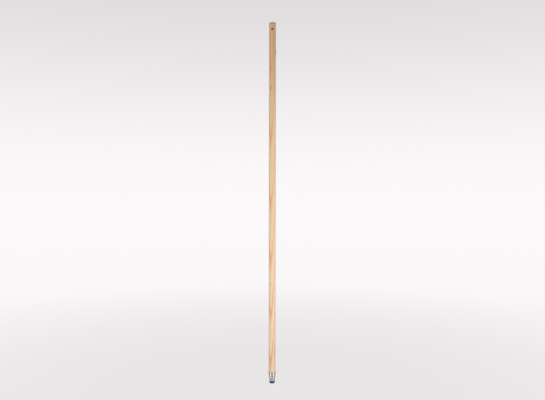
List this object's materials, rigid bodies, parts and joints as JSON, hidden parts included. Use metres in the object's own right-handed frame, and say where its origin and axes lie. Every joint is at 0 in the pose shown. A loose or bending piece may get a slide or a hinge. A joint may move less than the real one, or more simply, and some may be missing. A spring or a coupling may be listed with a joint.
{
  "type": "roller extension pole",
  "caption": "Wooden extension pole for a paint roller, with a hanging hole at one end and a ribbed cast metal tip with a coarse thread at the other.",
  "frame": {"origin": "middle of the threaded tip's flat end face, which is the bottom of the pole", "axes": "+Z along the pole from the threaded tip to the hanging hole; the hanging hole runs within 3 degrees of Y, and -Y is the front"},
  "size_m": [0.0272, 0.0264, 1.2192],
  "materials": {
    "wood": "bare pale softwood, sanded, satin",
    "tip_casting": "die-cast zinc alloy, bright satin, darkened at the end of the thread",
    "brad_steel": "plain steel wire",
    "label_paper": "blank coated paper sticker"
  },
  "bodies": {
    "root": {"pole_shaft": "wood", "threaded_tip": "tip_casting", "tip_brad_right": "brad_steel", "tip_brad_left": "brad_steel", "shaft_label": "label_paper"}
  },
  "joints": []
}
